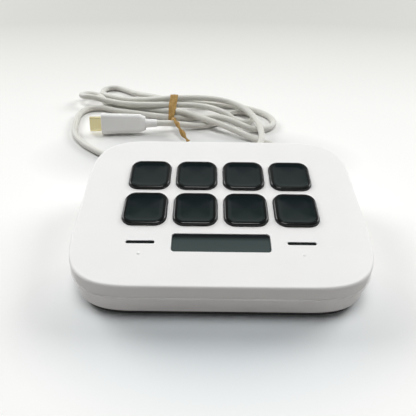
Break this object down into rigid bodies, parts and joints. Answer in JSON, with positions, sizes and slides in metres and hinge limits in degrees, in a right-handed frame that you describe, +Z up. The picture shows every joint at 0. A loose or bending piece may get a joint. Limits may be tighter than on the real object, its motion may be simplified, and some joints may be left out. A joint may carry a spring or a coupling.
{
  "type": "macro keypad",
  "caption": "Low wedge-shaped white desk keypad with sprung display keys in a grid, a dark information bar, touch areas with light slots, and a tied USB-C lead.",
  "frame": {"origin": "on the resting surface, under the middle of the case", "axes": "+X to the right as the user sees it, +Y to the back, +Z up"},
  "size_m": [0.1455, 0.1906, 0.0259],
  "materials": {
    "case_white": "smooth satin white",
    "foot_rubber": "soft matt",
    "key_black": "glossy black",
    "key_clear": "clear, dark with the display off",
    "membrane": "translucent silicone",
    "film": "pale plastic",
    "display_glass": "dark display glass",
    "inner_black": "matt black",
    "lens": "dark grey glossy window",
    "light_pipe": "smoked clear plastic",
    "copper": "thin copper",
    "board": "green circuit board",
    "chip": "black package",
    "ribbon": "amber film",
    "steel": "zinc plated",
    "cord": "smooth white jacket",
    "tie_paper": "tan paper over wire",
    "plug_white": "soft white overmould",
    "plug_metal": "gold plated"
  },
  "bodies": {
    "case": {"top_cover": "case_white", "bottom_shell": "case_white", "base_foot": "foot_rubber", "ballast_plate": "steel", "case_screws": "steel", "small_screws": "steel", "key_membrane": "membrane", "contact_sheet": "film", "display_panel": "display_glass", "display_backlight": "film", "display_carrier": "inner_black", "display_ribbon": "ribbon", "info_lens": "lens", "info_display": "inner_black", "light_pipes": "light_pipe", "touch_pads": "copper", "front_board": "board", "status_leds": "film", "front_ribbon": "ribbon", "main_board": "board", "controller_chip": "chip", "memory_chip": "chip", "board_passives": "chip", "board_sockets": "film", "cord_clamp": "inner_black", "inner_cord": "cord", "strain_relief": "cord", "cord_lead": "cord", "cord_hank": "cord", "cord_tail": "cord", "cord_tie": "tie_paper", "plug_body": "plug_white", "plug_shell": "plug_metal", "plug_insert": "inner_black", "key_domes_1": "membrane", "key_domes_2": "membrane", "key_domes_3": "membrane", "key_domes_4": "membrane", "key_domes_5": "membrane", "key_domes_6": "membrane", "key_domes_7": "membrane", "key_domes_8": "membrane"},
    "key_1": {"key_frame_1": "key_black", "key_cap_1": "key_clear"},
    "key_2": {"key_frame_2": "key_black", "key_cap_2": "key_clear"},
    "key_3": {"key_frame_3": "key_black", "key_cap_3": "key_clear"},
    "key_4": {"key_frame_4": "key_black", "key_cap_4": "key_clear"},
    "key_5": {"key_frame_5": "key_black", "key_cap_5": "key_clear"},
    "key_6": {"key_frame_6": "key_black", "key_cap_6": "key_clear"},
    "key_7": {"key_frame_7": "key_black", "key_cap_7": "key_clear"},
    "key_8": {"key_frame_8": "key_black", "key_cap_8": "key_clear"}
  },
  "joints": [
    {"name": "key_1_press", "type": "slide", "parent": "case", "child": "key_1", "axis": [0, 0.1262, -0.992], "range_m": [0, 0.0012], "stiffness_N_per_m": 400, "springref_m": -0.0004, "deforming": ["key_domes_1"]},
    {"name": "key_2_press", "type": "slide", "parent": "case", "child": "key_2", "axis": [0, 0.1262, -0.992], "range_m": [0, 0.0012], "stiffness_N_per_m": 400, "springref_m": -0.0004, "deforming": ["key_domes_2"]},
    {"name": "key_3_press", "type": "slide", "parent": "case", "child": "key_3", "axis": [0, 0.1262, -0.992], "range_m": [0, 0.0012], "stiffness_N_per_m": 400, "springref_m": -0.0004, "deforming": ["key_domes_3"]},
    {"name": "key_4_press", "type": "slide", "parent": "case", "child": "key_4", "axis": [0, 0.1262, -0.992], "range_m": [0, 0.0012], "stiffness_N_per_m": 400, "springref_m": -0.0004, "deforming": ["key_domes_4"]},
    {"name": "key_5_press", "type": "slide", "parent": "case", "child": "key_5", "axis": [0, 0.1262, -0.992], "range_m": [0, 0.0012], "stiffness_N_per_m": 400, "springref_m": -0.0004, "deforming": ["key_domes_5"]},
    {"name": "key_6_press", "type": "slide", "parent": "case", "child": "key_6", "axis": [0, 0.1262, -0.992], "range_m": [0, 0.0012], "stiffness_N_per_m": 400, "springref_m": -0.0004, "deforming": ["key_domes_6"]},
    {"name": "key_7_press", "type": "slide", "parent": "case", "child": "key_7", "axis": [0, 0.1262, -0.992], "range_m": [0, 0.0012], "stiffness_N_per_m": 400, "springref_m": -0.0004, "deforming": ["key_domes_7"]},
    {"name": "key_8_press", "type": "slide", "parent": "case", "child": "key_8", "axis": [0, 0.1262, -0.992], "range_m": [0, 0.0012], "stiffness_N_per_m": 400, "springref_m": -0.0004, "deforming": ["key_domes_8"]}
  ]
}
